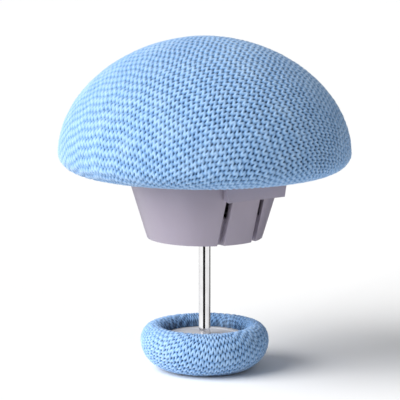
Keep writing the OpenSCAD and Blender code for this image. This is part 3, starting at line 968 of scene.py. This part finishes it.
@dataclass
class BasePlate:
    """The grey plate in the base, with a shallow channel and a rounded collar around the pin."""

    bore: float = 0.00085
    hub_radius: float = 0.0017
    land: float = 0.12               # width of the raised rim, as a share of the radius
    channel: float = 0.00012
    edge: float = 0.00008

    def build(self, plastic: bpy.types.Material) -> None:
        """Builds the plate and dresses it."""
        low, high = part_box("base_plate")
        radius = (high.x - low.x) / 2
        plate = new_primitive(
            "pin_plate", bpy.ops.mesh.primitive_cylinder_add, vertices=128, radius=radius,
            depth=high.z - low.z, location=(0, 0, (high.z + low.z) / 2))
        settle(plate)
        pick_faces(plate, lambda middle, normal: normal.z > 0.9)
        bpy.ops.mesh.inset(thickness=radius * self.land)
        bpy.ops.mesh.inset(thickness=self.edge)
        bpy.ops.transform.translate(value=(0, 0, -self.channel))
        bpy.ops.mesh.inset(thickness=radius * (1 - self.land) - self.edge * 2 - self.hub_radius)
        bpy.ops.mesh.inset(thickness=self.edge)
        bpy.ops.transform.translate(value=(0, 0, self.channel))
        close_edit()
        bore = new_primitive(
            "pin_bore", bpy.ops.mesh.primitive_cylinder_add, vertices=96, radius=self.bore,
            depth=4 * MARGIN, location=(0, 0, low.z))
        cut_away(plate, bore)
        apply_modifier(plate, "BEVEL", width=self.edge, segments=2, limit_method="ANGLE",
                       angle_limit=math.radians(50))
        smooth(plate)
        dress(plate, plastic)
        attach(plate, "base")
        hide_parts("base_plate")
        log.info("pin_plate: %d faces", len(plate.data.polygons))


@dataclass
class Studio:
    """Camera, soft lights, the floor, and dark cards that only reflections show."""

    aim: Colour = (-0.00064, 0.0, 0.0235)
    distance: float = 0.373
    elevation: float = 9.5
    lens: float = 246.0
    sensor: float = 36.0
    sun_from: Colour = (-0.76, -0.36, 0.56)
    sun_power: float = 4.6
    sun_width: float = 55.0
    sky: float = 0.27
    card_near: float = 0.02
    card_far: float = 0.6

    def build(self) -> None:
        """Builds the stage."""
        self._camera()
        self._floor()
        self._sun()
        cards = (("front_card", -11, 22), ("right_card", 132, 25), ("left_card", -152, 6))
        for name, heading, half_angle in cards:
            self._card(name, heading, half_angle)
        bpy.context.scene.view_settings.view_transform = "Standard"
        world = bpy.data.worlds.new("studio")
        bpy.context.scene.world = world
        world.use_nodes = True
        sky = world.node_tree.nodes["Background"]
        sky.inputs["Color"].default_value = (1, 1, 1, 1)
        sky.inputs["Strength"].default_value = self.sky

    def _camera(self) -> None:
        """Places the camera at its angle, looking at the clip."""
        data = bpy.data.cameras.new("camera")
        data.lens, data.sensor_width = self.lens, self.sensor
        data.clip_start, data.clip_end = 0.01, 20.0
        camera = bpy.data.objects.new("camera", data)
        bpy.context.scene.collection.objects.link(camera)
        tilt = math.radians(self.elevation)
        back = Vector((0, -math.cos(tilt), math.sin(tilt)))
        camera.location = Vector(self.aim) + back * self.distance
        camera.rotation_euler = (math.pi / 2 - tilt, 0, 0)
        bpy.context.scene.camera = camera

    def _floor(self) -> None:
        """A wide pale floor under the clip."""
        floor = new_primitive("floor", bpy.ops.mesh.primitive_plane_add, size=6.0)
        g = Graph("floor_paint")
        tone = g.noise(14, 2)
        dress(floor, g.finish(Base_Color=g.mix(tone, (0.95, 0.95, 0.95), (0.97, 0.97, 0.97)), Roughness=0.9))

    def _sun(self) -> None:
        """The broad key light, far away on the left in front."""
        data = bpy.data.lights.new("key", "SUN")
        data.energy = self.sun_power
        data.angle = math.radians(self.sun_width)
        light = bpy.data.objects.new("key", data)
        bpy.context.scene.collection.objects.link(light)
        light.rotation_euler = (-Vector(self.sun_from)).to_track_quat("-Z", "Y").to_euler()

    def _card(self, name: str, heading: float, half_angle: float) -> None:
        """A dark card on the floor that gives the polished pin an edge to reflect.

        Args:
            name: The card's name.
            heading: Its direction from the pin, from -Y towards +X, in degrees.
            half_angle: Half of the angle that it covers, in degrees.
        """
        near, far = self.card_near, self.card_far
        card = new_primitive(name, bpy.ops.mesh.primitive_plane_add, size=1.0)
        card.scale = (2 * far * math.tan(math.radians(half_angle)), far - near, 1)
        card.location = (0, -(far + near) / 2, 0.0002)
        settle(card)
        pick_edges(card, lambda one, two: max(one.y, two.y) > -near - 1e-6 and abs(one.y - two.y) < 1e-6)
        bpy.ops.transform.resize(value=(near / far, 1, 1), center_override=(0, 0, 0))
        close_edit()
        card.rotation_euler = (0, 0, math.radians(heading))
        settle(card)
        g = Graph(name)
        dress(card, g.finish(Base_Color=g.mix(g.noise(30, 2), (0.004, 0.004, 0.005), (0.008, 0.008, 0.009)),
                             Roughness=0.95, Specular_IOR_Level=0.0))
        for ray in ("camera", "diffuse", "shadow", "transmission"):
            setattr(card, f"visible_{ray}", False)


def dress_inner_pieces() -> None:
    """Gives the frame's own pieces their finishes."""
    shell = MouldedPlastic("shell_plastic", (0.66, 0.66, 0.70), (0.60, 0.60, 0.65))
    dark = MouldedPlastic("carrier_plastic", (0.09, 0.09, 0.10), (0.07, 0.07, 0.08))
    guard = MouldedPlastic("guard_plastic", (0.80, 0.80, 0.79), (0.74, 0.74, 0.74))
    repaint(["base_dish", "head_shell", "under_plate"], shell.material())
    repaint(["lock_carrier", "slide_keeper"], dark.material())
    repaint(["thrust_washer", "pin_sheath"], guard.material())
    repaint(["base_foam", "head_foam"], Foam().material())
    repaint(["base_thread", "head_thread"], TwistedThread().material())
    repaint(["lower_bush", "upper_bush"], Metal("bush_brass", (0.78, 0.58, 0.28), Lay.TURNED, 0.3).material())
    zinc = Metal("zinc_screw", (0.66, 0.67, 0.70), Lay.TURNED, 0.32)
    repaint(["collar_screws", "carrier_screws"], zinc.material())
    wire = Metal("spring_wire", (0.45, 0.45, 0.47), Lay.GROUND, 0.35)
    repaint(["lock_spring", "slide_spring"], wire.material())
    repaint(["lock_plate"], Metal("lock_steel", (0.48, 0.49, 0.51), Lay.GROUND, 0.3).material())


def main() -> None:
    """Builds the clip's looks, sub-assembly by sub-assembly."""
    logging.basicConfig(level=logging.INFO, format="%(name)s: %(message)s")
    cloth = KnitCloth().material()
    HeadPad().build(cloth)
    BasePad().build(cloth)
    collar = MouldedPlastic("collar_plastic", (0.345, 0.305, 0.375), (0.315, 0.28, 0.345), coat=0.1)
    plate = MouldedPlastic("plate_plastic", (0.62, 0.62, 0.64), (0.56, 0.56, 0.58))
    steel = Metal("polished_steel", (0.86, 0.85, 0.86), Lay.POLISHED, 0.08)
    side = SlideSide()
    moulding = collar.material()
    Collar(side).build(moulding)
    ThumbSlide(side).build(moulding)
    polish = steel.material()
    Pin().build(polish)
    BasePlate().build(plate.material())
    repaint(["lock_pivot"], polish)
    dress_inner_pieces()
    Studio().build()


if __name__ == "__main__":
    main()
